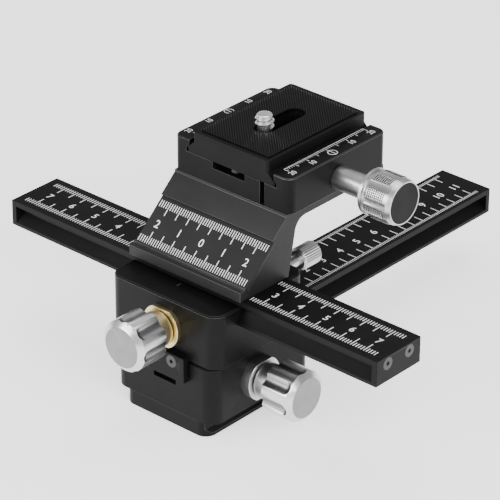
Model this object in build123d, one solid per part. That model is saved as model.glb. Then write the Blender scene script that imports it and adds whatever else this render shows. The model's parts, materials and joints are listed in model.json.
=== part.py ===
from build123d import *
import math
import os

os.makedirs("parts", exist_ok=True)

# All lengths in millimetres and angles in degrees. The origin is the mouth of the tripod
# thread, Z is up, X runs along the upper rail and Y along the lower rail.

# rail section, measured from the middle of the rail's underside
rail_length = 160.6
rail_width = 21.6
rail_height = 9.2
rail_lip = 1.9
rail_toe = 1.2
groove_depth = 3.2
rail_edge = 0.12
cap_thickness = 2.0

# fits
way_fit = 0.12
running_fit = 0.05
slide_gap = 0.1

# slide blocks, measured from the middle of the rail: the drive side carries the drive bush,
# the lock side the gib and its wall
drive_side = 21.2
lock_side = 22.8
block_corner = 5.0
block_edge = 0.45
slot_width = 9.8
slot_depth = 3.8
gib_back = 2.2
stack_gap = 0.8
quarter_turn = 90.0

# what differs between the two: along is the block's length, floor the height under the rail,
# rise the part of the rail above the block, shift the block's place along the rail from the
# drive shaft, drop the shaft's depth under the rail, bush the thickness of the bush's flange,
# phase the turn of the knob's flutes
lower = dict(along=48.8, floor=13.7, rise=2.3, shift=3.2, drop=2.9, bush=3.6, phase=38.0)
upper = dict(along=47.4, floor=13.3, rise=3.0, shift=-1.05, drop=4.05, bush=1.8, phase=-7.0)

# rack and pinion
gear_module = 0.8
pinion_teeth = 10
pressure_angle = math.radians(20.0)
pinion_addendum = 0.8
pinion_root_gap = 0.15
rack_addendum = 0.45
rack_dedendum = 1.0
backlash = 0.15
pinion_width = 5.6
rack_width = 6.4
rack_height = 2.85
rack_lift = 0.15
flank_steps = 4
chamber_radius = 5.2
chamber_side = 0.4

# drive shaft, bushes and knob; the knob is measured outwards from the bush's flange
shaft_radius = 2.0
collar_radius = 6.2
collar_gap = 0.4
collar_edge = 0.3
bush_radius = 7.6
bush_flat = 6.7
sleeve_radius = 4.0
sleeve_depth = 8.0
inner_bush_radius = 2.6
inner_bush_depth = 6.0
knob_radius = 9.0
knob_face_radius = 7.0
knob_stand = 5.8
knob_length = 12.4
knob_bevel = 1.6
knob_back_edge = 0.4
knob_web = 2.5
flute_count = 7
flute_depth = 1.35
flute_radius = 2.9
flute_land = 1.2

# lock stud and ribbed knob
lock_offset = 12.4
lock_height = 3.5
lock_thread_radius = 1.5
lock_neck_radius = 2.0
lock_neck = 7.2
lock_head = 8.0
lock_radius = 4.0
lock_face_radius = 3.2
lock_cone = 0.8
lock_ribs = 30
lock_rib_depth = 0.3

# screws: shank radius, head radius, head height, socket radius
m3 = dict(shank=1.5, head=2.5, tall=2.4, socket=1.25)
m25 = dict(shank=1.25, head=2.15, tall=1.3, socket=0.8)
m2 = dict(shank=1.0, head=1.8, tall=1.2, socket=0.7)
socket_sides = 6
socket_share = 0.6
cap_screw_side = 5.3
cap_screw_drop = 2.85
cap_screw_depth = 6.0
gib_screw_offset = 6.0
rack_screw_inset = 10.3
rack_screw_depth = 5.0
carriage_screw_x = 5.6
carriage_screw_y = 8.2
carriage_screw_depth = 5.2

# foot and tripod bush
foot_width = 37.0
foot_height = 5.4
foot_corner = 4.2
foot_edge_height = 1.2
foot_undercut = 1.6
foot_screw_x = 13.0
foot_screw_y = 14.0
foot_screw_depth = 6.0
tripod_thread_radius = 4.76
tripod_bush_radius = 6.0
tripod_bush_height = 10.0

# cross slide at rest: distance from the lower block's front face to the rail's front end
rail_nose = 2.54

# bracket, measured from the middle of the upper rail's top
bracket_width = 48.8
bracket_toe = 0.8
bracket_toe_height = 3.5
slope_foot_y = -9.5
slope_foot_z = 4.1
slope_head_y = 10.5
slope_head_edge = 0.8
bracket_height = 22.9
bracket_plate = 3.1
bracket_back_y = 11.8
bracket_back_lean = 0.2
bracket_fillet = 5.0
scale_length = 17.4
scale_thickness = 1.0
scale_sink = 0.9
scale_margin = 0.6
bracket_screw_x = 15.0
bracket_screw_y = 5.6
bracket_screw_depth = 3.4

# clamp
clamp_front = 10.6
clamp_depth = 48.6
clamp_left = 24.9
clamp_floor = 8.3
clamp_height = 12.8
clamp_corner = 3.0
clamp_edge = 0.3
clamp_split = 12.8
jaw_inside = 14.7
jaw_outside = 25.6
jaw_edge_height = 1.3
jaw_undercut = 1.3
left_jaw_tip = 19.3
right_jaw_tip = 19.9
clamp_groove_width = 14.0
clamp_groove_x = -0.7
clamp_groove_depth = 2.4
clamp_screw_near = -16.0
clamp_screw_far = -4.0
clamp_screw_inset = 6.3
clamp_screw_depth = 5.0
guide_pin_radius = 2.0
guide_pin_inset = 9.3
guide_pin_z = 3.4
guide_pin_inner = 1.0
guide_pin_outer = 22.0
stop_stud_radius = 1.75
stop_stud_sunk = 3.0

# clamp screw and its knob, measured along X
clamp_screw_z = 4.95
clamp_thread_radius = 2.5
clamp_thread_end = 7.5
clamp_thread_room = 1.0
clamp_shank_radius = 4.1
clamp_knob_start = 40.0
clamp_knob_end = 53.0
clamp_knob_radius = 7.9
clamp_knob_face = 7.4
clamp_knob_bevel = 1.6
clamp_disc_radius = 7.0
clamp_disc_thickness = 1.2
clamp_rim = 1.0
clamp_rim_groove = 1.2
clamp_rim_groove_depth = 0.7
clamp_panel_front = 11.2
clamp_flutes = 8
clamp_flute_depth = 0.7
clamp_flute_radius = 1.9
clamp_flute_phase = 41.0
ring_radius = 3.2
ring_thickness = 0.8

# quick-release plate, measured from its underside
plate_gap = 0.15
plate_foot = 38.0
plate_top = 32.8
plate_edge_height = 1.15
plate_height = 8.05
plate_corner = 1.2
pad_inset_x = 1.5
pad_inset_y = 2.0
pad_thickness = 1.2
pad_proud = 0.3
pad_corner = 1.0
slot_travel = 15.0
camera_screw_radius = 3.175
camera_slot_play = 0.3
camera_head_radius = 6.0
camera_head_height = 1.8
camera_head_lift = 0.15
slider_width = 12.8
slider_thickness = 1.2
slider_play = 0.1
camera_neck_radius = 2.6
camera_screw_rise = 5.3
camera_screw_tip = 0.6
plate_pin_inset = 3.3
plate_pin_radius = 1.75
plate_pin_drop = 2.2
plate_pin_sunk = 3.5

# heights that follow from the stack
lower_rail_bottom = foot_height + lower["floor"]
lower_rail_top = lower_rail_bottom + rail_height
upper_rail_bottom = lower_rail_top - lower["rise"] + stack_gap + upper["floor"]
upper_rail_top = upper_rail_bottom + rail_height
lower_rail_middle = rail_length / 2 + lower["shift"] - lower["along"] / 2 - rail_nose
clamp_bottom = upper_rail_top + bracket_height
clamp_middle = clamp_front + clamp_depth / 2
plate_length = clamp_depth
plate_bottom = clamp_bottom + clamp_floor + plate_gap
pitch_radius = gear_module * pinion_teeth / 2
tooth_pitch = math.pi * gear_module

low_corner = (Align.MIN, Align.MIN, Align.MIN)
on_base = (Align.CENTER, Align.CENTER, Align.MIN)
upper_unit = Pos(0, 0, upper_rail_bottom)
lower_unit = Pos(0, 0, lower_rail_bottom) * Rot(0, 0, quarter_turn)
made = {}


def span(x0, x1, y0, y1, z0, z1):
    return Pos(x0, y0, z0) * Box(x1 - x0, y1 - y0, z1 - z0, align=low_corner)


def post(radius, z0, z1, x=0.0, y=0.0):
    return Pos(x, y, z0) * Cylinder(radius, z1 - z0, align=on_base)


def rod(radius, y0, y1, x=0.0, z=0.0):
    return Pos(x, y0, z) * Rot(-quarter_turn, 0, 0) * Cylinder(radius, y1 - y0, align=on_base)


def bar(radius, x0, x1, y=0.0, z=0.0):
    return Pos(x0, y, z) * Rot(0, quarter_turn, 0) * Cylinder(radius, x1 - x0, align=on_base)


def run_x(points, x0, x1):
    outline = Plane.YZ * Polygon(*points, align=None)
    return Pos(x0, 0, 0) * extrude(outline, x1 - x0, dir=(1, 0, 0))


def run_y(points, y0, y1):
    outline = Plane.XZ * Polygon(*points, align=None)
    return Pos(0, y0, 0) * extrude(outline, y1 - y0, dir=(0, 1, 0))


def rounded(x_size, y_size, corner, z0, z1):
    return Pos(0, 0, z0) * extrude(RectangleRounded(x_size, y_size, corner), z1 - z0)


def slot(half_travel, half_width, z0, z1):
    outline = SlotCenterToCenter(2 * half_travel, 2 * half_width, rotation=quarter_turn)
    return Pos(0, 0, z0) * extrude(outline, z1 - z0)


def mirrored(points):
    return points + [(-u, v) for u, v in reversed(points)]


def screw(kind, depth):
    # head above the seat at z = 0, shank below, with a socket in the head
    solid = post(kind["head"], 0, kind["tall"]) + post(kind["shank"], -depth, 0)
    socket = RegularPolygon(kind["socket"], socket_sides)
    cut = kind["tall"] * (1 - socket_share)
    return solid - Pos(0, 0, cut) * extrude(socket, kind["tall"])


def screw_hole(kind, depth):
    return post(kind["head"], 0, kind["tall"]) + post(kind["shank"], -depth, 0)


def group(shapes):
    return Compound([solid for shape in shapes for solid in shape.solids()])


def keep(name, shape):
    made[name] = shape


# ---------------------------------------------------------------- rail and its rack

def rail_side():
    half = rail_width / 2
    neck = half - groove_depth
    lip = rail_height - rail_lip
    outer = [(half, 0), (half, rail_toe), (neck, rail_toe + groove_depth)]
    return outer + [(neck, lip), (half, lip), (half, rail_height)]


def rail_end_places(middle):
    half = rail_length / 2
    return middle - half, middle + half


def pitch_line(unit):
    return pitch_radius - unit["drop"]


def rack_screw_places(unit, middle):
    left, right = rail_end_places(middle)
    height = pitch_line(unit) + rack_dedendum
    return [Pos(x, 0, height) for x in (left + rack_screw_inset, right - rack_screw_inset)]


def cap_screw_places(middle):
    left, right = rail_end_places(middle)
    height = rail_height - cap_screw_drop
    sides = [side * cap_screw_side for side in (-1, 1)]
    ends = [(left, -1), (right, 1)]
    return [Pos(x - side * m25["tall"], y, height) * Rot(0, side * quarter_turn, 0)
            for x, side in ends for y in sides]


def rail(unit, middle):
    left, right = rail_end_places(middle)
    body = run_x(mirrored(rail_side()), left + cap_thickness, right - cap_thickness)
    body -= span(left, right, -rack_width / 2, rack_width / 2, 0, rack_lift + rack_height)
    for place in rack_screw_places(unit, middle):
        body -= place * Rot(180, 0, 0) * screw_hole(m2, rack_screw_depth)
    for place in cap_screw_places(middle):
        body -= place * screw_hole(m25, cap_screw_depth)
    return body


def rack_teeth(line, left, right):
    lean = math.tan(pressure_angle)
    half = (tooth_pitch - backlash / 2) / 4
    tip = half - rack_addendum * lean
    root = half + rack_dedendum * lean
    low = line - rack_addendum
    high = line + rack_dedendum
    first = math.floor(left / tooth_pitch)
    last = math.ceil(right / tooth_pitch)
    points = []
    for index in range(first, last):
        x = (index + 0.5) * tooth_pitch
        points += [(x - root, high), (x - tip, low), (x + tip, low), (x + root, high)]
    ceiling = rack_lift + rack_height
    return points + [(points[-1][0], ceiling), (points[0][0], ceiling)]


def rack(unit, middle):
    left, right = rail_end_places(middle)
    left += cap_thickness
    right -= cap_thickness
    half = rack_width / 2
    line = pitch_line(unit)
    body = run_y(rack_teeth(line, left - tooth_pitch, right + tooth_pitch), -half, half)
    body &= span(left, right, -half, half, line - rack_addendum, rack_lift + rack_height)
    for place in rack_screw_places(unit, middle):
        body -= place * Rot(180, 0, 0) * screw_hole(m2, rack_screw_depth)
    return body


def rack_screws(unit, middle):
    return group(place * Rot(180, 0, 0) * screw(m2, rack_screw_depth)
                 for place in rack_screw_places(unit, middle))


def rail_cap(middle, side):
    outer = middle + side * rail_length / 2
    inner = outer - side * cap_thickness
    half = rail_width / 2
    cap = span(min(inner, outer), max(inner, outer), -half, half, 0, rail_height)
    face = cap.faces().sort_by(Axis.X)[0 if side < 0 else -1]
    cap = chamfer(face.edges(), rail_edge)
    for place in cap_screw_places(middle):
        cap -= place * screw_hole(m25, cap_screw_depth)
    return cap


def cap_screws(middle):
    return group(place * screw(m25, cap_screw_depth) for place in cap_screw_places(middle))


# ---------------------------------------------------------------- block and gib

def way_side():
    # the rail groove's own outline moved out and up by the running fit
    half = rail_width / 2 + way_fit
    neck = half - groove_depth
    heel = rail_toe + way_fit
    return [(half, -slide_gap), (half, heel), (neck, heel + groove_depth)]


def gib_wall():
    return rail_width / 2 + way_fit + gib_back


def channel_outline():
    far = gib_wall()
    above = rail_height
    neck = way_side()[-1][0]
    fixed = [(-y, z) for y, z in way_side()] + [(-neck, above)]
    return fixed + [(far, above), (far, -slide_gap)]


def gib(unit):
    far = gib_wall()
    neck = way_side()[-1][0]
    top = rail_height - unit["rise"]
    outline = way_side() + [(neck, top), (far, top), (far, -slide_gap)]
    half = unit["along"] / 2
    return Pos(unit["shift"], 0, 0) * run_x(outline, -half, half)


def drive_frame(unit):
    return Pos(0, -drive_side, -unit["drop"]) * Rot(quarter_turn, 0, 0)


def lock_frame():
    return Pos(lock_offset, lock_side, lock_height) * Rot(-quarter_turn, 0, 0)


def gib_screw_places():
    return [Pos(lock_offset * side - gib_screw_offset, gib_wall(), lock_height)
            * Rot(-quarter_turn, 0, 0) for side in (-1, 0)]


def inner_bush_span():
    start = pinion_width / 2 + chamber_side
    return start, start + inner_bush_depth


def block_shell(unit):
    body = rounded(unit["along"], drive_side + lock_side, block_corner, -unit["floor"],
                   rail_height - unit["rise"])
    body = chamfer(body.faces().sort_by(Axis.Z)[-1].edges(), block_edge)
    return Pos(unit["shift"], (lock_side - drive_side) / 2, 0) * body


def drive_bores(unit):
    half = pinion_width / 2 + chamber_side
    start, end = inner_bush_span()
    bores = rod(chamber_radius, -half, half)
    bores += rod(shaft_radius + running_fit, -drive_side, start)
    bores += rod(sleeve_radius, -drive_side, sleeve_depth - drive_side)
    bores += rod(inner_bush_radius, 0, end)
    return Pos(0, 0, -unit["drop"]) * bores


def block(unit):
    along = unit["along"]
    half_slot = slot_width / 2
    body = block_shell(unit)
    body -= run_x(channel_outline(), -along, along)
    body -= span(-along, along, -half_slot, half_slot, -slot_depth, 0)
    body -= drive_bores(unit)
    body -= lock_frame() * post(lock_thread_radius + running_fit, gib_wall() - lock_side, 1)
    for place in gib_screw_places():
        body -= place * post(m2["shank"], 0, lock_side - gib_wall())
    return body


def gib_screws():
    reach = lock_side - gib_wall()
    socket = extrude(RegularPolygon(m2["shank"] * socket_share, socket_sides), m2["tall"])
    stud = post(m2["shank"], 0, reach) - Pos(0, 0, reach - m2["tall"]) * socket
    return group(place * stud for place in gib_screw_places())


# ---------------------------------------------------------------- drive

def involute_angle(radius, base):
    roll = math.sqrt(max((radius / base) ** 2 - 1, 0))
    return roll - math.atan(roll)


def pinion_outline():
    base = pitch_radius * math.cos(pressure_angle)
    tip = pitch_radius + pinion_addendum
    root = pitch_radius - rack_addendum - pinion_root_gap
    half = (tooth_pitch - backlash / 2) / 4 / pitch_radius
    half += involute_angle(pitch_radius, base)
    radii = [base + (tip - base) * step / flank_steps for step in range(flank_steps + 1)]
    flank = [(root, half)] + [(r, half - involute_angle(r, base)) for r in radii]
    points = []
    for tooth in range(pinion_teeth):
        middle = math.pi / 2 + 2 * math.pi * tooth / pinion_teeth
        turned = [(r, middle - a) for r, a in flank] + [(r, middle + a) for r, a in reversed(flank)]
        points += [(r * math.cos(a), r * math.sin(a)) for r, a in turned]
    return points


def pinion(unit):
    half = pinion_width / 2
    gear = extrude(Polygon(*pinion_outline(), align=None), pinion_width, dir=(0, 0, 1))
    gear -= post(shaft_radius, 0, pinion_width)
    return Pos(0, half, -unit["drop"]) * Rot(quarter_turn, 0, 0) * gear


def drive_bush(unit):
    thickness = unit["bush"]
    flange = post(bush_radius, 0, thickness)
    flange = chamfer(flange.edges().filter_by(GeomType.CIRCLE).sort_by(Axis.Z)[-1], rail_edge)
    flange &= span(-bush_radius, bush_radius, -bush_flat, bush_flat, 0, thickness)
    bush = flange + post(sleeve_radius, -sleeve_depth, 0)
    bush -= post(shaft_radius + running_fit, -sleeve_depth, thickness)
    return drive_frame(unit) * bush


def inner_bush(unit):
    start, end = inner_bush_span()
    bush = rod(inner_bush_radius, start, end) - rod(shaft_radius + running_fit, start, end)
    return Pos(0, 0, -unit["drop"]) * bush


def drive_shaft(unit):
    inner = -(drive_side + inner_bush_span()[1])
    start = unit["bush"] + knob_stand
    shaft = post(collar_radius, unit["bush"] + collar_gap, start)
    rims = shaft.edges().filter_by(GeomType.CIRCLE).sort_by(Axis.Z)
    shaft = chamfer(rims[0], collar_edge)
    shaft += post(shaft_radius, inner, start + knob_length - knob_web)
    return drive_frame(unit) * shaft


def flute_cutter():
    reach = flute_radius ** 2 - (flute_radius - flute_depth) ** 2
    stop = knob_length - flute_land - math.sqrt(reach)
    centre = knob_radius - flute_depth + flute_radius
    return post(flute_radius, 0, stop, x=centre) + Pos(centre, 0, stop) * Sphere(flute_radius)


def drive_knob(unit):
    rim = knob_length - knob_bevel
    knob = post(knob_radius, 0, rim)
    knob = chamfer(knob.edges().filter_by(GeomType.CIRCLE).sort_by(Axis.Z)[0], knob_back_edge)
    knob += Pos(0, 0, rim) * Cone(knob_radius, knob_face_radius, knob_bevel, align=on_base)
    cutter = flute_cutter()
    for index in range(flute_count):
        knob -= Rot(0, 0, unit["phase"] + 360 * index / flute_count) * cutter
    knob -= post(shaft_radius, 0, knob_length - knob_web)
    return drive_frame(unit) * Pos(0, 0, unit["bush"] + knob_stand) * knob


# ---------------------------------------------------------------- lock

def lock_stud():
    reach = lock_side - gib_wall() - slide_gap
    stud = post(lock_thread_radius, -reach, slide_gap)
    stud += post(lock_neck_radius, slide_gap, lock_neck)
    stud += post(lock_thread_radius, lock_neck, lock_neck + lock_head - lock_cone)
    return lock_frame() * stud


def lock_knob():
    points = []
    for index in range(lock_ribs):
        for share, radius in ((0, lock_radius), (0.5, lock_radius - lock_rib_depth)):
            angle = 2 * math.pi * (index + share) / lock_ribs
            points.append((radius * math.cos(angle), radius * math.sin(angle)))
    end = lock_neck + lock_head
    head = Pos(0, 0, lock_neck) * extrude(Polygon(*points, align=None), lock_head, dir=(0, 0, 1))
    taper = Cone(lock_face_radius, lock_radius, lock_cone, align=on_base)
    head &= post(lock_radius, lock_neck + lock_cone, end) + Pos(0, 0, lock_neck) * taper
    head -= post(lock_thread_radius, lock_neck, end - lock_cone)
    return lock_frame() * head


# ---------------------------------------------------------------- units

def make_unit(name, place, unit, middle, caps):
    keep(name + "_rail", place * rail(unit, middle))
    keep(name + "_rack", place * rack(unit, middle))
    keep(name + "_rack_screws", place * rack_screws(unit, middle))
    keep(name + "_" + caps[0] + "_cap", place * rail_cap(middle, -1))
    keep(name + "_" + caps[1] + "_cap", place * rail_cap(middle, 1))
    keep(name + "_cap_screws", place * cap_screws(middle))
    keep(name + "_block", place * block(unit))
    keep(name + "_gib", place * gib(unit))
    keep(name + "_gib_screws", place * gib_screws())
    keep(name + "_drive_bush", place * drive_bush(unit))
    keep(name + "_inner_bush", place * inner_bush(unit))
    keep(name + "_drive_shaft", place * drive_shaft(unit))
    keep(name + "_pinion", place * pinion(unit))
    keep(name + "_drive_knob", place * drive_knob(unit))
    keep(name + "_lock_stud", place * lock_stud())
    keep(name + "_lock_knob", place * lock_knob())


# ---------------------------------------------------------------- foot

def foot_screw_places():
    seat = m3["tall"] + slide_gap
    return [Pos(x, lower["shift"] + y, seat) * Rot(180, 0, 0)
            for x in (-foot_screw_x, foot_screw_x) for y in (-foot_screw_y, foot_screw_y)]


def foot_plate():
    half = foot_width / 2
    neck = half - foot_undercut
    high = foot_edge_height + foot_undercut
    side = [(half, 0), (half, foot_edge_height), (neck, high), (neck, foot_height)]
    length = lower["along"]
    plate = run_y(mirrored(side), -length / 2, length / 2)
    plate &= rounded(foot_width, length, foot_corner, 0, foot_height)
    plate = Pos(0, lower["shift"], 0) * plate
    plate -= post(tripod_bush_radius, 0, foot_height)
    for place in foot_screw_places():
        plate -= place * screw_hole(m3, foot_height)
        plate -= place * post(m3["head"], 0, foot_height)
    return plate


def foot_screws():
    depth = foot_height - m3["tall"] - slide_gap + foot_screw_depth
    return group(place * screw(m3, depth) for place in foot_screw_places())


def tripod_bush():
    bush = post(tripod_bush_radius, 0, tripod_bush_height)
    return bush - post(tripod_thread_radius, 0, tripod_bush_height)


def finish_lower_block():
    body = made["lower_block"]
    body -= post(tripod_bush_radius, 0, tripod_bush_height)
    for place in foot_screw_places():
        body -= place * post(m3["shank"], -foot_height - foot_screw_depth + m3["tall"] + slide_gap, 0)
    keep("lower_block", body)


# ---------------------------------------------------------------- carriage

def carriage_places():
    seat = upper_rail_bottom - m3["tall"] - slide_gap - running_fit
    return [Pos(x, y, seat) for x in (-carriage_screw_x, carriage_screw_x)
            for y in (-carriage_screw_y, carriage_screw_y)]


def carriage_screw_length():
    return carriage_places()[0].position.Z - lower_rail_top + carriage_screw_depth


def finish_carriage():
    half = rail_width / 2 + way_fit
    body = made["upper_block"]
    body -= span(-half, half, -drive_side, lock_side, 0, lower_rail_top)
    rail_body = made["lower_rail"]
    length = carriage_screw_length()
    for place in carriage_places():
        body -= place * (screw_hole(m3, length) + post(m3["head"], 0, m3["tall"] + slide_gap))
        rail_body -= place * screw_hole(m3, length)
    keep("upper_block", body)
    keep("lower_rail", rail_body)
    keep("carriage_screws", group(place * screw(m3, length) for place in carriage_places()))


# ---------------------------------------------------------------- bracket

def slope_angle():
    rise = bracket_height - slope_head_edge - slope_foot_z
    return math.atan2(rise, slope_head_y - slope_foot_y)


def bracket_outline():
    toe = rail_width / 2 + bracket_toe
    under = bracket_height - bracket_plate
    back = bracket_back_y + bracket_back_lean * under
    front = [(-toe, 0), (-toe, bracket_toe_height), (slope_foot_y, bracket_toe_height)]
    front += [(slope_foot_y, slope_foot_z), (slope_head_y, bracket_height - slope_head_edge)]
    top = [(slope_head_y, bracket_height), (clamp_front + clamp_depth, bracket_height)]
    rear = [(clamp_front + clamp_depth, under), (back, under), (bracket_back_y, 0)]
    return front + top + rear


def scale_frame():
    turn = math.degrees(slope_angle())
    return Pos(0, slope_foot_y, upper_rail_top + slope_foot_z) * Rot(turn, 0, 0)


def bracket():
    half = bracket_width / 2
    body = run_x(bracket_outline(), -half, half)
    under = bracket_height - bracket_plate
    back = bracket_back_y + bracket_back_lean * under
    inside = body.edges().filter_by(Axis.X).sort_by_distance((0, back, under))[0]
    body = fillet(inside, bracket_fillet)
    body = Pos(0, 0, upper_rail_top) * body
    depth = scale_thickness + scale_sink
    body -= scale_frame() * span(-half, half, scale_margin, scale_margin + scale_length, -depth, depth)
    for place in bracket_screw_places():
        body -= place * post(m25["shank"], -bracket_screw_length(), 0)
    for place in clamp_screw_places():
        body -= place * screw_hole(m3, bracket_plate)
    return body


def scale_plate():
    half = bracket_width / 2
    plate = span(-half, half, scale_margin, scale_margin + scale_length, 0, scale_thickness)
    return scale_frame() * Pos(0, 0, -scale_thickness - scale_sink) * plate


def bracket_screw_places():
    seat = upper_rail_bottom + m25["tall"] + slide_gap
    return [Pos(x, y, seat) * Rot(180, 0, 0) for x in (-bracket_screw_x, bracket_screw_x)
            for y in (-bracket_screw_y, bracket_screw_y)]


def bracket_screw_length():
    return rail_height - m25["tall"] - slide_gap + bracket_screw_depth


def finish_upper_rail():
    body = made["upper_rail"]
    for place in bracket_screw_places():
        body -= place * post(m25["shank"], -bracket_screw_length(), 0)
        body -= place * post(m25["head"], 0, rail_height)
    keep("upper_rail", body)


# ---------------------------------------------------------------- clamp

def clamp_frame():
    return Pos(0, clamp_middle, clamp_bottom)


def clamp_screw_places():
    reach = clamp_depth / 2 - clamp_screw_inset
    seat = Pos(0, 0, m3["tall"] - bracket_plate) * Rot(180, 0, 0)
    return [clamp_frame() * Pos(x, side * reach, 0) * seat
            for x in (clamp_screw_near, clamp_screw_far) for side in (-1, 1)]


def guide_pin_places():
    reach = clamp_depth / 2 - guide_pin_inset
    return -reach, reach


def jaw_inner(tip):
    shoulder = clamp_floor + jaw_edge_height
    lip = tip - jaw_undercut
    return [(tip, clamp_floor), (tip, shoulder), (lip, shoulder + jaw_undercut), (lip, clamp_height)]


def soften_outside(body, side):
    # round the two upright corners on the outer side and bevel the top edge between them
    corners = body.edges().filter_by(Axis.Z).group_by(Axis.X)[side]
    body = fillet(corners, clamp_corner)
    inside = right_jaw_tip - jaw_undercut / 2
    top = body.edges().group_by(Axis.Z)[-1]
    return chamfer([edge for edge in top if abs(edge.center().X) > inside], clamp_edge)


def clamp_body():
    half = clamp_depth / 2
    inner = [(-x, z) for x, z in jaw_inner(left_jaw_tip)]
    outline = [(clamp_split, 0), (clamp_split, clamp_floor)] + inner
    outline += [(-clamp_left, clamp_height), (-clamp_left, 0)]
    body = soften_outside(run_y(outline, -half, half), 0)
    floor = clamp_floor - clamp_groove_depth
    left = clamp_groove_x - clamp_groove_width / 2
    body -= span(left, left + clamp_groove_width, -half, half, floor, clamp_floor)
    for y in guide_pin_places():
        body -= bar(guide_pin_radius + running_fit, 0, clamp_split, y, guide_pin_z)
    end = clamp_thread_end - clamp_thread_room
    body -= bar(clamp_thread_radius + running_fit, end, clamp_split, 0, clamp_screw_z)
    body -= post(stop_stud_radius, floor - stop_stud_sunk, floor)
    body = clamp_frame() * body
    for place in clamp_screw_places():
        body -= place * post(m3["shank"], -clamp_screw_length(), 0)
    return body


def clamp_screw_length():
    return bracket_plate - m3["tall"] + clamp_screw_depth


def stop_stud():
    floor = clamp_floor - clamp_groove_depth
    return clamp_frame() * post(stop_stud_radius, floor - stop_stud_sunk, clamp_floor - slide_gap)


def movable_jaw():
    half = clamp_depth / 2
    outline = [(jaw_inside, slide_gap), (jaw_inside, clamp_floor)] + jaw_inner(right_jaw_tip)
    outline += [(jaw_outside, clamp_height), (jaw_outside, slide_gap)]
    body = soften_outside(run_y(outline, -half, half), -1)
    for y in guide_pin_places():
        body -= bar(guide_pin_radius, jaw_inside, guide_pin_outer, y, guide_pin_z)
    body -= bar(clamp_thread_radius + slide_gap, jaw_inside, jaw_outside, 0, clamp_screw_z)
    return clamp_frame() * body


def jaw_guide_pins():
    pins = [bar(guide_pin_radius, guide_pin_inner, guide_pin_outer, y, guide_pin_z)
            for y in guide_pin_places()]
    return clamp_frame() * group(pins)


def clamp_screw():
    shoulder = jaw_outside + running_fit
    shaft = bar(clamp_thread_radius, clamp_thread_end, shoulder, 0, clamp_screw_z)
    shaft += bar(clamp_shank_radius, shoulder, clamp_knob_start, 0, clamp_screw_z)
    end = clamp_knob_end - clamp_disc_thickness
    shaft += bar(clamp_thread_radius, clamp_knob_start, end, 0, clamp_screw_z)
    return clamp_frame() * shaft


def clamp_ring():
    end = jaw_inside - running_fit
    ring = bar(ring_radius, end - ring_thickness, end, 0, clamp_screw_z)
    ring -= bar(clamp_thread_radius, end - ring_thickness, end, 0, clamp_screw_z)
    return clamp_frame() * ring


def clamp_knob_frame():
    return clamp_frame() * Pos(clamp_knob_start, 0, clamp_screw_z) * Rot(0, quarter_turn, 0)


def clamp_knob():
    length = clamp_knob_end - clamp_knob_start
    knob = post(clamp_knob_radius, 0, length - clamp_knob_bevel)
    bevel = Cone(clamp_knob_radius, clamp_knob_face, clamp_knob_bevel, align=on_base)
    knob += Pos(0, 0, length - clamp_knob_bevel) * bevel
    ring_end = clamp_rim + clamp_rim_groove
    inner = clamp_knob_radius - clamp_rim_groove_depth
    knob -= post(clamp_knob_radius, clamp_rim, ring_end) - post(inner, clamp_rim, ring_end)
    centre = clamp_knob_radius - clamp_flute_depth + clamp_flute_radius
    flute = post(clamp_flute_radius, ring_end, clamp_panel_front, x=centre)
    for index in range(clamp_flutes):
        knob -= Rot(0, 0, clamp_flute_phase + 360 * index / clamp_flutes) * flute
    knob -= post(clamp_disc_radius, length - clamp_disc_thickness, length)
    knob -= post(clamp_thread_radius, 0, length)
    return clamp_knob_frame() * knob


def clamp_knob_disc():
    length = clamp_knob_end - clamp_knob_start
    disc = post(clamp_disc_radius, length - clamp_disc_thickness, length - slide_gap)
    return clamp_knob_frame() * disc


# ---------------------------------------------------------------- quick-release plate

def plate_frame():
    return Pos(0, clamp_middle, plate_bottom)


def head_slot_top():
    return camera_head_lift + camera_head_height + slider_thickness + slider_play


def quick_plate():
    foot = plate_foot / 2
    top = plate_top / 2
    half = plate_length / 2
    side = [(foot, 0), (foot, plate_edge_height), (top, plate_edge_height + foot - top), (top, plate_height)]
    body = run_y(mirrored(side), -half, half)
    body = fillet(body.edges().filter_by(Axis.Z), plate_corner)
    seat = plate_height + pad_proud - pad_thickness
    pad_x = plate_top - 2 * pad_inset_x
    pad_y = plate_length - 2 * pad_inset_y
    body -= rounded(pad_x, pad_y, pad_corner, seat, plate_height)
    body -= slot(slot_travel / 2, camera_screw_radius + camera_slot_play, 0, plate_height)
    half_width = slider_width / 2 + slider_play
    reach = slot_travel / 2 + half_width
    body -= span(-half_width, half_width, -reach, reach, 0, head_slot_top())
    for y in plate_pin_places():
        body -= post(plate_pin_radius, 0, plate_pin_sunk, 0, y)
    return plate_frame() * body


def plate_pad():
    seat = plate_height + pad_proud - pad_thickness
    pad_x = plate_top - 2 * pad_inset_x
    pad_y = plate_length - 2 * pad_inset_y
    pad = rounded(pad_x, pad_y, pad_corner, seat, seat + pad_thickness)
    pad -= slot(slot_travel / 2, camera_screw_radius + camera_slot_play, 0, seat + pad_thickness)
    return plate_frame() * pad


def plate_pin_places():
    reach = plate_length / 2 - plate_pin_inset
    return -reach, reach


def plate_pins():
    pins = [post(plate_pin_radius, -plate_pin_drop, plate_pin_sunk, 0, y) for y in plate_pin_places()]
    return plate_frame() * group(pins)


def screw_slider():
    half = slider_width / 2
    low = camera_head_lift + camera_head_height + running_fit
    slider = span(-half, half, -half, half, low, low + slider_thickness - running_fit)
    slider -= post(camera_neck_radius + running_fit, low, low + slider_thickness)
    return plate_frame() * Pos(0, -slot_travel / 2, 0) * slider


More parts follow.
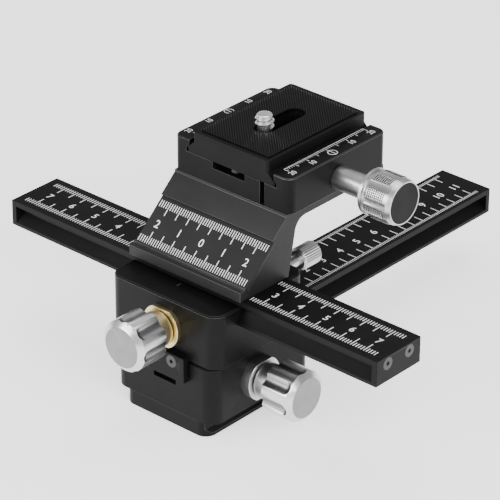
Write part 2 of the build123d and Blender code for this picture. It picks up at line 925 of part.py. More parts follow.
def camera_screw():
    # threaded above the pad, with a plain neck through the slot
    start = plate_height + pad_proud + slide_gap
    low = camera_head_lift
    body = post(camera_screw_radius, start, start - slide_gap + camera_screw_rise)
    body = chamfer(body.edges().filter_by(GeomType.CIRCLE).sort_by(Axis.Z)[-1], camera_screw_tip)
    body += post(camera_neck_radius, low, start)
    body += post(camera_head_radius, low, low + camera_head_height)
    return plate_frame() * Pos(0, -slot_travel / 2, 0) * body


# ---------------------------------------------------------------- assembly

make_unit("lower", lower_unit, lower, lower_rail_middle, ("front", "rear"))
make_unit("upper", upper_unit, upper, 0.0, ("left", "right"))
keep("foot_plate", foot_plate())
keep("foot_screws", foot_screws())
keep("tripod_bush", tripod_bush())
finish_lower_block()
finish_carriage()
keep("bracket", bracket())
keep("scale_plate", scale_plate())
keep("bracket_screws", group(place * screw(m25, bracket_screw_length()) for place in bracket_screw_places()))
finish_upper_rail()
keep("clamp_body", clamp_body())
keep("clamp_body_screws", group(place * screw(m3, clamp_screw_length()) for place in clamp_screw_places()))
keep("stop_stud", stop_stud())
keep("movable_jaw", movable_jaw())
keep("jaw_guide_pins", jaw_guide_pins())
keep("clamp_screw", clamp_screw())
keep("clamp_ring", clamp_ring())
keep("clamp_knob", clamp_knob())
keep("clamp_knob_disc", clamp_knob_disc())
keep("quick_plate", quick_plate())
keep("plate_pad", plate_pad())
keep("plate_pins", plate_pins())
keep("screw_slider", screw_slider())
keep("camera_screw", camera_screw())

for name, shape in made.items():
    export_step(shape, "parts/" + name + ".step")
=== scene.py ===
import json
import math
import bpy
from mathutils import Matrix, Vector


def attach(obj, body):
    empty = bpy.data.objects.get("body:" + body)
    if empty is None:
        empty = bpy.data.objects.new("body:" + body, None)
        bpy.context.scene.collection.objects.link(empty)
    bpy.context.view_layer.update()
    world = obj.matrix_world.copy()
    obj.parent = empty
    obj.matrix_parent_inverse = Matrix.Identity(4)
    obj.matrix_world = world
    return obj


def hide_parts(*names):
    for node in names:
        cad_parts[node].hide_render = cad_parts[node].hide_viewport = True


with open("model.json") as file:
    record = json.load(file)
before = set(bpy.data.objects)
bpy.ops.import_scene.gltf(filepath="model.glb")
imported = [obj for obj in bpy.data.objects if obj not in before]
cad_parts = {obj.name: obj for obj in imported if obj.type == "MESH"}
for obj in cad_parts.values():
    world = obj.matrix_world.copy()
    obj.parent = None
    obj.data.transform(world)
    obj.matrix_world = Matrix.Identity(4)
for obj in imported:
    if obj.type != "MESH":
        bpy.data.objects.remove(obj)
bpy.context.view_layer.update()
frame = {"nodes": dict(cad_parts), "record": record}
nodes = frame["nodes"]
mm = 0.001


# ---- shader maths: one value of a material, with the usual signs for its sums

class Value:
    def __init__(self, finish, socket):
        self.finish = finish
        self.socket = socket

    def join(self, operation, first, second=0.0):
        return self.finish.add("ShaderNodeMath", {"operation": operation}, {0: first, 1: second})

    def __add__(self, other):
        return self.join("ADD", self, other)

    def __sub__(self, other):
        return self.join("SUBTRACT", self, other)

    def __mul__(self, other):
        return self.join("MULTIPLY", self, other)

    def __truediv__(self, other):
        return self.join("DIVIDE", self, other)

    def __gt__(self, other):
        return self.join("GREATER_THAN", self, other)

    def atMost(self, other):
        return self.join("MINIMUM", self, other)

    def atLeast(self, other):
        return self.join("MAXIMUM", self, other)

    def root(self):
        return self.join("SQRT", self)


class Finish:
    def __init__(self, name, **settings):
        self.material = bpy.data.materials.new(name)
        self.material.use_nodes = True
        self.tree = self.material.node_tree
        self.shader = self.tree.nodes["Principled BSDF"]
        self.place = self.add("ShaderNodeTexCoord", output="Object")
        for socket, value in settings.items():
            self.give(socket, value)

    def add(self, kind, settings=None, inputs=None, output=0):
        node = self.tree.nodes.new(kind)
        for key, value in (settings or {}).items():
            if key == "stops":
                while len(node.color_ramp.elements) < len(value):
                    node.color_ramp.elements.new(0.5)
                for element, (position, colour) in zip(node.color_ramp.elements, value):
                    element.position = position
                    element.color = (*colour, 1.0)
            else:
                setattr(node, key, value)
        for key, value in (inputs or {}).items():
            self.feed(node.inputs[key], value)
        return Value(self, node.outputs[output])

    def feed(self, socket, value):
        if isinstance(value, Value):
            self.tree.links.new(value.socket, socket)
        else:
            socket.default_value = value

    def give(self, socket, value):
        self.feed(self.shader.inputs[socket.replace("_", " ")], value)

    def noise(self, scale, detail=2.0, stretch=(1.0, 1.0, 1.0)):
        place = self.add("ShaderNodeMapping", None, {"Vector": self.place, "Scale": stretch})
        return self.add("ShaderNodeTexNoise", None, {"Vector": place, "Scale": scale, "Detail": detail})

    def axes(self):
        # where a point of the piece lies along X, Y and Z, in millimetres
        return [self.add("ShaderNodeSeparateXYZ", None, {"Vector": self.place}, output) / mm
                for output in range(3)]

    def awayFrom(self, parts, middle):
        # distance from an axis that crosses the plane of the two parts at its middle
        squares = [(part - centre) * (part - centre) for part, centre in zip(parts, middle)]
        return (squares[0] + squares[1]).root()

    def spread(self, value, low, high):
        # a value around 0.5 becomes one between low and high
        return value * (high - low) + low

    def shades(self, value, dark, pale):
        stops = [(0.3, dark), (0.7, pale)]
        return self.add("ShaderNodeValToRGB", {"stops": stops}, {"Fac": value})

    def bump(self, height, distance):
        return self.add("ShaderNodeBump", None, {"Height": height, "Distance": distance})


# ---- finishes

# scales of the noise in the finishes, as waves in a metre
grains = {"cloud": 60.0, "smudge": 220.0, "touch": 500.0, "rings": 2600.0, "speck": 4000.0, "blast": 9000.0}


def anodised(name, dark, pale, rough, grain, shine=0.1):
    finish = Finish(name, Metallic=0.0, Specular_IOR_Level=shine)
    cloud = finish.noise(grains["cloud"], 3.0)
    blast = finish.noise(grains["blast"])
    finish.give("Base Color", finish.shades(cloud, dark, pale))
    finish.give("Roughness", finish.spread(blast, rough - 0.1, rough + 0.12))
    finish.give("Normal", finish.bump(blast, grain))
    return finish.material


def turned(name, dark, pale, rough, stretch, grain=0.0000012):
    finish = Finish(name, Metallic=1.0)
    rings = finish.noise(grains["rings"], 2.0, stretch)
    smudge = finish.noise(grains["smudge"], 3.0)
    finish.give("Base Color", finish.shades(smudge, dark, pale))
    finish.give("Roughness", finish.spread(rings * 0.5 + smudge * 0.5, rough - 0.04, rough + 0.06))
    finish.give("Normal", finish.bump(rings, grain))
    return finish.material


def paintFill(name, dark, pale):
    finish = Finish(name, Metallic=0.0)
    speck = finish.noise(grains["speck"])
    finish.give("Base Color", finish.shades(speck, dark, pale))
    finish.give("Roughness", finish.spread(speck, 0.4, 0.6))
    finish.give("Normal", finish.bump(speck, 0.00001))
    return finish.material


# knurl of the clamp knob: painted shade, dark up to the radius "low" between the grains and brighter above
# it at the rate "climb"
knurlPaintedShade = {"middle": (34.9, 77.15), "low": 8.01, "climb": 5.0, "rough": 0.3, "roughSpread": 0.05,
              "dark": (0.04, 0.04, 0.04), "pale": (0.72, 0.72, 0.72)}


def knurled(name):
    # painted shade: dark between the grains and bright on their tops, by the distance from the knob's axis
    spot = knurlPaintedShade
    finish = Finish(name, Metallic=1.0)
    height = (finish.awayFrom(finish.axes()[1:], spot["middle"]) - spot["low"]) * spot["climb"]
    touch = finish.noise(grains["touch"])
    finish.give("Base Color", finish.shades(height, spot["dark"], spot["pale"]))
    finish.give("Roughness", finish.spread(touch, spot["rough"] - spot["roughSpread"],
                                           spot["rough"] + spot["roughSpread"]))
    return finish.material


# drive knobs: painted shade, dark up to the radius "low" in the flutes and brighter above it at the rate
# "climb"; a painted highlight on the bevel and a painted dark reflection on the flat front
drivePaintedLight = {"low": 7.5, "climb": 0.75, "bevel": 1.5, "front": 0.06, "frontDark": 0.8, "reach": 0.4,
              "start": 0.26, "smudge": 0.08, "smooth": 0.26, "rough": 0.36,
              "dark": (0.14, 0.14, 0.145), "pale": (0.64, 0.64, 0.645)}


def fluted(name, axis, way, middle, end):
    # satin silver knob with painted light: a painted dark reflection on the flat front, a painted highlight
    # on the bevel round it, and painted shade in the flutes, darker inwards
    spot = drivePaintedLight
    finish = Finish(name, Metallic=1.0)
    parts = finish.axes()
    along = parts.pop(axis) * way
    # painted shade in the flutes, darker towards their floor
    height = ((finish.awayFrom(parts, middle) - spot["low"]) * spot["climb"]).atMost(1.0)
    # painted highlight: the bevel at full brightness
    height = height.atLeast(along > end - spot["bevel"])
    # painted dark reflection on the flat front
    height = height - (along > end - spot["front"]) * spot["frontDark"]
    smudge = finish.noise(grains["smudge"], 3.0)
    shade = height * spot["reach"] + spot["start"] + smudge * spot["smudge"]
    finish.give("Base Color", finish.shades(shade, spot["dark"], spot["pale"]))
    finish.give("Roughness", finish.spread(smudge, spot["smooth"], spot["rough"]))
    return finish.material


finishes = {
    "black": anodised("blackAnodised", (0.0035, 0.0035, 0.0036), (0.0055, 0.0055, 0.0056), 0.42, 0.000004),
    "slope": anodised("slopeGrey", (0.013, 0.013, 0.0133), (0.018, 0.018, 0.0183), 0.5, 0.000004, 0.2),
    "faint": paintFill("faintFill", (0.05, 0.05, 0.05), (0.08, 0.08, 0.08)),
    # painted highlight: the black finish made about ten times lighter, for the eased edges of the black
    # pieces
    "edge": anodised("edgeGlint", (0.035, 0.035, 0.0355), (0.05, 0.05, 0.0505), 0.35, 0.000002, 0.5),
    "screws": anodised("screwBlack", (0.03, 0.03, 0.03), (0.05, 0.05, 0.05), 0.35, 0.000004, 0.3),
    "knobX": turned("knobSilverX", (0.50, 0.50, 0.505), (0.60, 0.60, 0.605), 0.32, (1.0, 0.05, 0.05)),
    "knobY": turned("knobSilverY", (0.50, 0.50, 0.505), (0.60, 0.60, 0.605), 0.32, (0.05, 1.0, 0.05)),
    "driveX": fluted("driveSilverX", 0, 1, (0.0, 16.2), 43.0),
    "driveY": fluted("driveSilverY", 1, -1, (0.0, 36.05), 41.2),
    "knurl": knurled("knobKnurl"),
    "brass": turned("brassSatin", (0.68, 0.56, 0.28), (0.80, 0.69, 0.40), 0.3, (0.05, 1.0, 0.05)),
    "bronze": turned("bronzeStrip", (0.42, 0.27, 0.13), (0.56, 0.38, 0.2), 0.38, (1.0, 1.0, 0.1)),
    "steel": turned("brightSteel", (0.84, 0.84, 0.85), (0.94, 0.94, 0.95), 0.26, (0.3, 0.3, 1.0)),
    "white": paintFill("whiteFill", (0.8, 0.8, 0.8), (0.92, 0.92, 0.92)),
    "disc": anodised("discBlack", (0.006, 0.006, 0.006), (0.011, 0.011, 0.011), 0.5, 0.00001),
    "rubber": anodised("padRubber", (0.002, 0.002, 0.002), (0.004, 0.004, 0.004), 0.4, 0.000005, 0.05),
    # painted highlight on the pad's ribs: the pad rubber made lighter and shinier
    "rib": anodised("padRib", (0.005, 0.005, 0.005), (0.008, 0.008, 0.008), 0.35, 0.000003, 0.14),
}
print("finishes made:", len(finishes))


# ---- small helpers for modelling

def clearSelection():
    if bpy.context.mode != "OBJECT":
        bpy.ops.object.mode_set(mode="OBJECT")
    bpy.ops.object.select_all(action="DESELECT")


def pick(*pieces):
    clearSelection()
    for piece in pieces:
        piece.select_set(True)
    bpy.context.view_layer.objects.active = pieces[0]
    return pieces[0]


def coat(piece, finish):
    piece.data.materials.clear()
    piece.data.materials.append(finish)


def recoat(name, finish):
    # a CAD node that stays as it is and only gets its finish
    for holder in nodes[name].material_slots:
        holder.link = "OBJECT"
        holder.material = finish


def applyModifiers(piece):
    pick(piece)
    for modifier in list(piece.modifiers):
        bpy.ops.object.modifier_apply(modifier=modifier.name)


def settle(piece, place=None):
    # bakes where the piece stands into its mesh
    if place is not None:
        piece.matrix_world = place @ piece.matrix_world
    pick(piece)
    bpy.ops.object.transform_apply(location=True, rotation=True, scale=True)
    return piece


def merged(pieces, name):
    pick(*pieces)
    if len(pieces) > 1:
        bpy.ops.object.join()
    piece = bpy.context.view_layer.objects.active
    piece.name = name
    return piece


def copyOf(piece, name):
    copy = bpy.data.objects.new(name, piece.data.copy())
    bpy.context.collection.objects.link(copy)
    return copy


def repeatAlong(piece, pitch, count):
    repeat = piece.modifiers.new("repeat", "ARRAY")
    repeat.use_relative_offset = False
    repeat.use_constant_offset = True
    repeat.constant_offset_displace = (pitch * mm, 0.0, 0.0)
    repeat.count = count
    applyModifiers(piece)
    return piece


# skins: "weld" and "flatten" (degrees) clean the CAD mesh, edges sharper than "sharp" degrees are eased
skinWork = {"weld": 0.002, "flatten": 0.3, "sharp": 30.0, "segments": 2}


def dress(nodeName, body, finish, edge, paintedGlint=None):
    # a merged copy of a CAD node with its edges eased, standing for the node
    spot = skinWork
    piece = copyOf(nodes[nodeName], nodeName + "Skin")
    pick(piece)
    bpy.ops.object.mode_set(mode="EDIT")
    bpy.ops.mesh.select_all(action="SELECT")
    bpy.ops.mesh.remove_doubles(threshold=spot["weld"] * mm)
    bpy.ops.mesh.dissolve_limited(angle_limit=math.radians(spot["flatten"]))
    bpy.ops.object.mode_set(mode="OBJECT")
    coat(piece, finish)
    ease = piece.modifiers.new("ease", "BEVEL")
    ease.width = edge * mm
    ease.segments = spot["segments"]
    ease.limit_method = "ANGLE"
    ease.angle_limit = math.radians(spot["sharp"])
    ease.use_clamp_overlap = True
    # the eased faces take the painted highlight finish, when one is given
    if paintedGlint:
        piece.data.materials.append(paintedGlint)
        ease.material = 1
    bpy.ops.object.shade_smooth_by_angle(angle=math.radians(spot["sharp"]))
    applyModifiers(piece)
    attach(piece, body)
    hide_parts(nodeName)


bodyOf = {}
for bodyName, members in frame["record"]["behaviour"]["bodies"].items():
    for member in members:
        bodyOf[member] = bodyName


def board(alongAxis, upAxis, corner):
    # a flat drawing board: its X runs along alongAxis, its Y along upAxis
    along = Vector(alongAxis).normalized()
    up = Vector(upAxis).normalized()
    out = along.cross(up)
    place = Matrix((along, up, out)).transposed().to_4x4()
    place.translation = Vector(corner) * mm
    return place


# ---- marks: the engraved ticks and numerals, made as thin solids standing a little proud of the surface

# "typeShare" is the font size that gives a numeral of height 1, "bolder" thickens its strokes
marks = {"tickWidth": 0.29, "rise": 0.03, "sink": 0.02, "bolder": 0.02, "typeShare": 1.38, "curveSteps": 3}


def ticks(first, last, pitch, low, high, width=marks["tickWidth"]):
    # a row of ticks on the board, one made and the rest repeated along X
    clearSelection()
    middle = ((first * mm), (low + high) / 2 * mm, (marks["rise"] - marks["sink"]) / 2 * mm)
    bpy.ops.mesh.primitive_cube_add(size=1.0, location=middle)
    tick = bpy.context.object
    tick.scale = (width * mm, abs(high - low) * mm, (marks["rise"] + marks["sink"]) * mm)
    settle(tick)
    return repeatAlong(tick, pitch, int(round((last - first) / pitch)) + 1)


def numeral(text, x, y, height, squeeze=1.0, bolder=marks["bolder"]):
    clearSelection()
    bpy.ops.object.text_add(location=(x * mm, y * mm, 0.0))
    label = bpy.context.object
    label.data.body = text
    label.data.size = height * marks["typeShare"] * mm
    label.data.align_x = "CENTER"
    label.data.align_y = "CENTER"
    label.data.offset = bolder * mm
    label.data.extrude = marks["rise"] * mm
    label.data.resolution_u = marks["curveSteps"]
    label.scale = (squeeze, 1.0, 1.0)
    pick(label)
    bpy.ops.object.convert(target="MESH")
    return settle(bpy.context.object)


def ringMark(x, y, radius, line):
    clearSelection()
    bpy.ops.mesh.primitive_torus_add(major_radius=radius * mm, minor_radius=line / 2 * mm,
                                     major_segments=40, minor_segments=8, location=(x * mm, y * mm, 0.0))
    ring = bpy.context.object
    ring.scale = (1.0, 1.0, 2 * marks["rise"] / line)
    return settle(ring)


def engrave(name, parts, place, body, finish="white"):
    piece = merged(parts, name)
    settle(piece, place)
    coat(piece, finishes[finish])
    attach(piece, body)


# upper rail: two rows of ticks with numerals between them; tick n stands n * pitch - zero from the middle,
# on both sides, and every fifth one is longer
upperScale = {"pitch": 1.072, "zero": 2.6, "first": 26, "last": 74, "tens": (3, 4, 5, 6, 7), "outer": 7.95,
              "short": 5.8, "long": 3.2, "top": 49.3, "digit": 2.9, "digitAt": -0.45}


def makeUpperScale():
    spot = upperScale
    pitch, zero = spot["pitch"], spot["zero"]
    parts = []
    for side in (-1, 1):
        reach = [side * (count * pitch - zero) for count in (spot["first"], spot["last"])]
        fives = [side * (ten * 10 * pitch - zero) for ten in (spot["tens"][0], spot["tens"][-1])]
        for row in (-1, 1):
            parts.append(ticks(*sorted(reach), pitch, row * spot["short"], row * spot["outer"]))
            parts.append(ticks(*sorted(fives), 5 * pitch, row * spot["long"], row * spot["short"]))
        for ten in spot["tens"]:
            x = side * (ten * 10 * pitch - zero)
            parts.append(numeral(str(ten), x, spot["digitAt"], spot["digit"]))
    place = board((1, 0, 0), (0, 1, 0), (0, 0, spot["top"]))
    engrave("upperScaleMarks", parts, place, "top_slide")


# lower rail: rows like the upper rail's, counted from a zero in front; "fiveLast" is the last longer tick
lowerScale = {"pitch": 0.903, "zero": 29.67, "last": 113, "fiveLast": 110, "outer": 9.3, "short": 8.1,
              "long": 4.5, "top": 28.3, "digit": 3.1, "digitAt": -1.0}


def makeLowerScale():
    spot = lowerScale
    pitch, zero = spot["pitch"], spot["zero"]
    parts = []
    for row in (-1, 1):
        last, fives = (zero + spot[count] * pitch for count in ("last", "fiveLast"))
        parts.append(ticks(zero, last, pitch, row * spot["short"], row * spot["outer"]))
        parts.append(ticks(zero, fives, 5 * pitch, row * spot["long"], row * spot["short"]))
    for ten in range(1, spot["fiveLast"] // 10 + 1):
        parts.append(numeral(str(ten), zero + ten * 10 * pitch, spot["digitAt"], spot["digit"]))
    place = board((0, 1, 0), (-1, 0, 0), (0, 0, spot["top"]))
    engrave("lowerScaleMarks", parts, place, "cross_slide")


# slope: ticks along its lower edge and under the step, numerals between
slopeScale = {"pitch": 0.972, "footY": -9.5, "footZ": 53.4, "rise": 18.0, "run": 20.0, "sink": 0.9,
              "end": 24, "fiveEnd": 20, "tens": (-2, -1, 0, 1, 2),
              "lowEdge": 1.0, "lowShort": 3.4, "lowLong": 5.45, "lowShift": -0.5,
              "highEdge": 16.6, "highShort": 14.2, "highLong": 11.87, "highShift": 0.0,
              "digit": 2.9, "digitAt": 8.25, "digitShift": -0.6}


def makeSlopeScale():
    spot = slopeScale
    pitch = spot["pitch"]
    parts = []
    for edge in ("low", "high"):
        shift = spot[edge + "Shift"]
        end, fives = spot["end"] * pitch, spot["fiveEnd"] * pitch
        outer, short, long = (spot[edge + size] for size in ("Edge", "Short", "Long"))
        parts.append(ticks(shift - end, shift + end, pitch, outer, short))
        parts.append(ticks(shift - fives, shift + fives, 5 * pitch, short, long))
    for ten in spot["tens"]:
        x = spot["digitShift"] + ten * 10 * pitch
        parts.append(numeral(str(abs(ten)), x, spot["digitAt"], spot["digit"]))
    up = Vector((0, spot["run"], spot["rise"])).normalized()
    out = Vector((1, 0, 0)).cross(up)
    corner = Vector((0, spot["footY"], spot["footZ"])) - out * spot["sink"]
    engrave("slopeScaleMarks", parts, board((1, 0, 0), up, corner), "top_slide")


# jaw tops: a row along the inner edge, numerals outside it and a ring with a bar at the middle
jawScale = {"pitch": 0.98, "middle": 35.1, "reach": 20, "top": 85.0, "short": 1.2, "long": 2.3,
            "line": 0.15, "digit": 2.25, "squeeze": 0.9, "bolder": -0.02, "tens": (-2, -1, 1, 2),
            "ring": 1.6, "ringLine": 1.6, "barLine": 1.3,
            "base": 18.7, "digitAt": 22.6, "leftBase": -18.4, "leftDigitAt": -22.5}


def makeJawScale(name, base, digitAt, body):
    spot = jawScale
    way = 1 if base > 0 else -1
    pitch, line = spot["pitch"], spot["line"]
    reach = spot["reach"] * pitch
    inner, outer = -(base + way * spot["short"]), -(base + way * spot["long"])
    parts = [ticks(-reach, reach, pitch, -base, inner, line)]
    parts.append(ticks(-reach, reach, 5 * pitch, inner, outer, line))
    parts.append(ticks(0, 0, 1, -base, -base - way * line, 2 * reach))
    for ten in spot["tens"]:
        parts.append(numeral(str(abs(ten) * 10), ten * 10 * pitch, -digitAt, spot["digit"],
                             spot["squeeze"], spot["bolder"]))
    parts.append(ringMark(0, -digitAt, spot["ring"], spot["ringLine"] * line))
    parts.append(ticks(0, 0, 1, -digitAt - spot["ring"], -digitAt + spot["ring"], spot["barLine"] * line))
    place = board((0, 1, 0), (-1, 0, 0), (0, spot["middle"], spot["top"]))
    engrave(name, parts, place, body)


# a faint line on the upper block, against which the upper scale is read
indexLine = {"x": -2.0, "front": -12.9, "back": -11.0, "top": 46.3}


def makeIndexLine():
    spot = indexLine
    line = ticks(spot["x"], spot["x"], 1, spot["front"], spot["back"])
    place = board((1, 0, 0), (0, 1, 0), (0, 0, spot["top"]))
    engrave("upperIndexLine", [line], place, "cross_slide", "faint")


makeUpperScale()
makeLowerScale()
makeSlopeScale()
makeJawScale("rightJawMarks", jawScale["base"], jawScale["digitAt"], "jaw")
makeJawScale("leftJawMarks", jawScale["leftBase"], jawScale["leftDigitAt"], "top_slide")
makeIndexLine()
print("marks made")


# ---- eased skins of the machined pieces

skins = {
    "black": {"lower_block": 0.2, "upper_block": 0.2, "lower_rail": 0.15, "upper_rail": 0.15,
              "foot_plate": 0.2, "clamp_body": 0.2, "movable_jaw": 0.2, "quick_plate": 0.2,
              "lower_front_cap": 0.1, "lower_rear_cap": 0.1, "upper_left_cap": 0.1, "upper_right_cap": 0.1},
    "slope": {"bracket": 0.2, "scale_plate": 0.08},
    "driveX": {"lower_drive_knob": 0.2},
    "driveY": {"upper_drive_knob": 0.2},
    "knobX": {"lower_drive_shaft": 0.1, "lower_drive_bush": 0.15,
              "clamp_screw": 0.15, "lower_lock_stud": 0.1, "lower_lock_knob": 0.05},
    "knobY": {"upper_lock_stud": 0.1, "upper_lock_knob": 0.05},
    "brass": {"upper_drive_bush": 0.15, "upper_drive_shaft": 0.1},
    "disc": {"clamp_knob_disc": 0.15},
}
# these get a painted highlight: a lighter finish on their eased edges, where the black pieces show bright
# lines
paintedGlintPieces = ["upper_block", "lower_block", "foot_plate", "bracket", "clamp_body", "movable_jaw",
            "quick_plate"]
for finishName, members in skins.items():
    for member, edge in members.items():
        paintedGlint = finishes["edge"] if member in paintedGlintPieces else None
        dress(member, bodyOf[member], finishes[finishName], edge, paintedGlint=paintedGlint)
print("skins made")

plain = {
    "screws": ["foot_screws", "lower_cap_screws", "upper_cap_screws", "carriage_screws", "bracket_screws",
               "clamp_body_screws", "lower_rack_screws", "upper_rack_screws", "lower_gib_screws",
               "upper_gib_screws", "plate_pins"],
    "bronze": ["lower_gib", "upper_gib", "lower_inner_bush", "upper_inner_bush"],
    "steel": ["tripod_bush", "lower_pinion", "upper_pinion", "lower_rack", "upper_rack", "stop_stud",
              "jaw_guide_pins", "clamp_ring", "screw_slider"],
    "rubber": ["plate_pad"],
}
for finishName, members in plain.items():
    for member in members:
        recoat(member, finishes[finishName])
print("plain nodes finished")


# ---- camera screw: head under the plate, neck, threaded end with a helical ridge

cameraScrew = {"x": 0.0, "y": 27.4, "headRadius": 6.0, "headLow": 80.8, "headHigh": 82.6, "headEdge": 0.3,
               "neckRadius": 2.55, "neckSunk": 0.1, "top": 94.3, "tip": 0.5,
               "crest": 3.15, "ridgeSunk": 0.05, "ridgeLow": 90.0, "ridgeHalf": 0.44, "ridgeSteps": 48,
               "pitch": 1.82, "turns": 2, "postSharp": 35.0, "ridgeSharp": 60.0}


def roundPost(radius, low, high, x, y, edge, name):
    clearSelection()
    bpy.ops.mesh.primitive_cylinder_add(vertices=64, radius=radius * mm, depth=(high - low) * mm,
                                        location=(x * mm, y * mm, (low + high) / 2 * mm))
    piece = bpy.context.object
    piece.name = name
    settle(piece)
    ease = piece.modifiers.new("ease", "BEVEL")
    ease.width = edge * mm
    ease.segments = 3
    bpy.ops.object.shade_smooth_by_angle(angle=math.radians(cameraScrew["postSharp"]))
    applyModifiers(piece)
    return piece


def threadRidge():
    # a diamond section wound up the Z axis, closed at both ends
    spot = cameraScrew
    root = spot["neckRadius"] - spot["ridgeSunk"]
    clearSelection()
    bpy.ops.mesh.primitive_circle_add(vertices=4, radius=1.0, rotation=(math.pi / 2, 0, 0))
    ridge = bpy.context.object
    settle(ridge)
    ridge.scale = ((spot["crest"] - root) * mm, 1.0, spot["pitch"] * spot["ridgeHalf"] * mm)
    ridge.location = (root * mm, 0.0, 0.0)
    settle(ridge)
    wind = ridge.modifiers.new("wind", "SCREW")
    wind.axis = "Z"
    wind.steps = spot["ridgeSteps"]
    wind.render_steps = spot["ridgeSteps"]
    wind.iterations = spot["turns"]
    wind.screw_offset = spot["pitch"] * mm
    applyModifiers(ridge)
    bpy.ops.object.mode_set(mode="EDIT")
    bpy.ops.mesh.select_all(action="SELECT")
    bpy.ops.mesh.fill_holes(sides=0)
    bpy.ops.mesh.select_all(action="SELECT")
    bpy.ops.mesh.normals_make_consistent(inside=False)
    bpy.ops.object.mode_set(mode="OBJECT")
    bpy.ops.object.shade_smooth_by_angle(angle=math.radians(spot["ridgeSharp"]))
    return ridge


def makeCameraScrew():
    spot = cameraScrew
    x, y = spot["x"], spot["y"]
    foot = spot["headLow"] + spot["neckSunk"]
    low, high = spot["headLow"], spot["headHigh"]
    head = roundPost(spot["headRadius"], low, high, x, y, spot["headEdge"], "screwHead")
    neck = roundPost(spot["neckRadius"], foot, spot["top"], x, y, spot["tip"], "screwNeck")
    ridge = threadRidge()
    settle(ridge, Matrix.Translation((x * mm, y * mm, spot["ridgeLow"] * mm)))
    piece = merged([head, neck, ridge], "cameraScrewThreaded")
    coat(piece, finishes["steel"])
    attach(piece, "camera_screw")
    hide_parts("camera_screw")


makeCameraScrew()
print("camera screw made")


# ---- pad: fine ribs on the diagonal, from edge to edge and up to the slot on both sides

padRibs = {"pitch": 0.78, "width": 0.46, "rise": 0.2, "halfX": 14.7, "halfY": 22.1, "slotHalf": 7.5,
           "slotRadius": 3.6, "middle": (0.0, 34.9), "top": 89.0, "turn": -45.0, "step": 0.1,
           "shortest": 0.5}


def ribStretches(offset):
    # where a rib at this distance from the pad's middle starts and stops, slot left out
    spot = padRibs
    root = math.sqrt(2)
    start = max(-spot["halfX"] * root - offset, offset - spot["halfY"] * root)
    stop = min(spot["halfX"] * root - offset, offset + spot["halfY"] * root)
    inside = []
    for index in range(int((stop - start) / spot["step"]) + 1):
        t = start + index * spot["step"]
        x, y = (offset + t) / root, (offset - t) / root
        far = math.hypot(x, max(abs(y) - spot["slotHalf"], 0.0))
        if far < spot["slotRadius"]:
            inside.append(t)
    pairs = [(start, inside[0]), (inside[-1], stop)] if inside else [(start, stop)]
    return [pair for pair in pairs if pair[1] - pair[0] > spot["shortest"]]


def makePadRibs():
    spot = padRibs
    clearSelection()
    bpy.ops.mesh.primitive_cylinder_add(vertices=4, radius=spot["width"] / 2 * mm, depth=1.0 * mm,
                                        rotation=(0, math.pi / 2, 0))
    rib = bpy.context.object
    settle(rib)
    rib.scale = (1.0, 1.0, 2 * spot["rise"] / spot["width"])
    settle(rib)
    reach = int((spot["halfX"] + spot["halfY"]) / math.sqrt(2) / spot["pitch"])
    x, y = spot["middle"]
    turn = Matrix.Rotation(math.radians(spot["turn"]), 4, "Z")
    place = Matrix.Translation((x * mm, y * mm, spot["top"] * mm)) @ turn
    copies = []
    for index in range(-reach, reach + 1):
        offset = index * spot["pitch"]
        for start, stop in ribStretches(offset):
            copy = copyOf(rib, "padRib")
            copy.scale = (stop - start, 1.0, 1.0)
            copy.location = ((start + stop) / 2 * mm, offset * mm, 0.0)
            settle(copy)
            copies.append(settle(copy, place))
    bpy.data.objects.remove(rib)
    ribs = merged(copies, "padRibs")
    # the ribs take the lighter rubber, a painted highlight
    coat(ribs, finishes["rib"])
    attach(ribs, "plate")


makePadRibs()
print("pad ribs made")


# ---- clamp knob: eased CAD form with knurled panels between its flutes

clampKnob = {"y": 34.9, "z": 77.15, "edge": 0.12, "radius": 7.9, "start": 43.3, "pitch": 0.78, "count": 9,
             "phase": 243.5, "panels": 8, "rows": 5, "rowTurn": 4.6,
             "grain": 0.55, "flat": 0.24, "height": 0.36}


def makeKnurl():
    spot = clampKnob
    clearSelection()
    bpy.ops.mesh.primitive_cone_add(vertices=4, radius1=spot["grain"] * mm, radius2=spot["flat"] * mm,
                                    depth=spot["height"] * mm, rotation=(0, 0, math.pi / 4))
    grain = bpy.context.object
    settle(grain)
    grain.scale = (1.0, math.radians(spot["rowTurn"]) * spot["radius"] / spot["pitch"], 1.0)
    settle(grain, Matrix.Translation((spot["start"] * mm, 0, (spot["radius"] + spot["height"] / 4) * mm)))
    repeatAlong(grain, spot["pitch"], spot["count"])
    place = Matrix.Translation((0, spot["y"] * mm, spot["z"] * mm))
    rows = []
    for panel in range(spot["panels"]):
        for row in range(spot["rows"]):
            angle = spot["phase"] + panel * 360 / spot["panels"]
            angle += (row - (spot["rows"] - 1) / 2) * spot["rowTurn"]
            turn = Matrix.Rotation(math.radians(angle), 4, "X")
            rows.append(settle(copyOf(grain, "knurlRow"), place @ turn))
    bpy.data.objects.remove(grain)
    knurl = merged(rows, "clampKnobKnurl")
    coat(knurl, finishes["knurl"])
    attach(knurl, "clamp_turn")


dress("clamp_knob", "clamp_turn", finishes["knobX"], clampKnob["edge"])
makeKnurl()
print("clamp knob made")


# ---- floor, lights and camera

studio = {"floorSize": 8.0, "floorGlow": 1.3, "worldStrength": 0.5, "aim": (0.0, 0.03, 0.05)}
lamps = {
    "keySide": {"place": (1.1, -0.5, 0.7), "size": (0.8, 0.6), "power": 16.0},
    "frontSoft": {"place": (-0.5, -1.2, 0.6), "size": (0.9, 0.6), "power": 16.0},
    "topSoft": {"place": (0.0, 0.2, 1.3), "size": (1.0, 1.0), "power": 9.0},
}


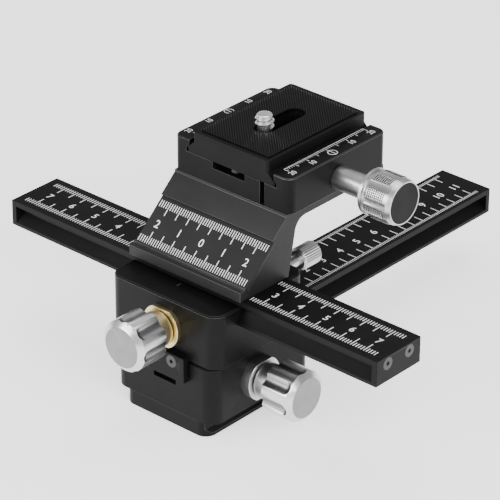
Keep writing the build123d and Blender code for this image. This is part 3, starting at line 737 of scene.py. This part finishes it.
def makeFloor():
    clearSelection()
    bpy.ops.mesh.primitive_plane_add(size=studio["floorSize"], location=(0, 0, 0))
    floor = bpy.context.object
    floor.name = "floor"
    paper = Finish("paperWhite")
    fibre = paper.noise(40.0, 3.0)
    paper.give("Base Color", paper.shades(fibre, (0.86, 0.86, 0.86), (0.88, 0.88, 0.88)))
    paper.give("Roughness", paper.spread(fibre, 0.6, 0.8))
    paper.give("Emission Color", paper.shades(fibre, (0.98, 0.98, 0.98), (1.0, 1.0, 1.0)))
    paper.give("Emission Strength", studio["floorGlow"])
    coat(floor, paper.material)


def makeLight(name):
    spot = lamps[name]
    clearSelection()
    bpy.ops.object.light_add(type="AREA", location=spot["place"])
    lamp = bpy.context.object
    lamp.name = name
    lamp.data.shape = "RECTANGLE"
    lamp.data.size, lamp.data.size_y = spot["size"]
    lamp.data.energy = spot["power"]
    ahead = Vector(studio["aim"]) - Vector(spot["place"])
    lamp.rotation_euler = ahead.to_track_quat("-Z", "Y").to_euler()


def makeWorld():
    world = bpy.data.worlds.new("studioWorld")
    bpy.context.scene.world = world
    world.use_nodes = True
    background = world.node_tree.nodes["Background"]
    background.inputs["Color"].default_value = (1.0, 1.0, 1.0, 1.0)
    background.inputs["Strength"].default_value = studio["worldStrength"]


view = {
    "lens": 222.4, "sensor": 36.0, "far": 50.0, "place": (594.85, -648.76, 537.18),
    "right": (0.7463, 0.6656, 0.0031), "down": (0.3219, -0.3567, -0.8770),
    "ahead": (-0.5826, 0.6555, -0.4805),
}


def makeCamera():
    clearSelection()
    bpy.ops.object.camera_add()
    camera = bpy.context.object
    right = Vector(view["right"])
    down = Vector(view["down"])
    ahead = Vector(view["ahead"])
    turn = Matrix((right, -down, -ahead)).transposed().to_4x4()
    turn.translation = Vector(view["place"]) * mm
    camera.matrix_world = turn
    camera.data.sensor_width = view["sensor"]
    camera.data.lens = view["lens"]
    camera.data.clip_end = view["far"]
    bpy.context.scene.camera = camera


makeFloor()
makeWorld()
for lampName in lamps:
    makeLight(lampName)
makeCamera()
print("studio made")
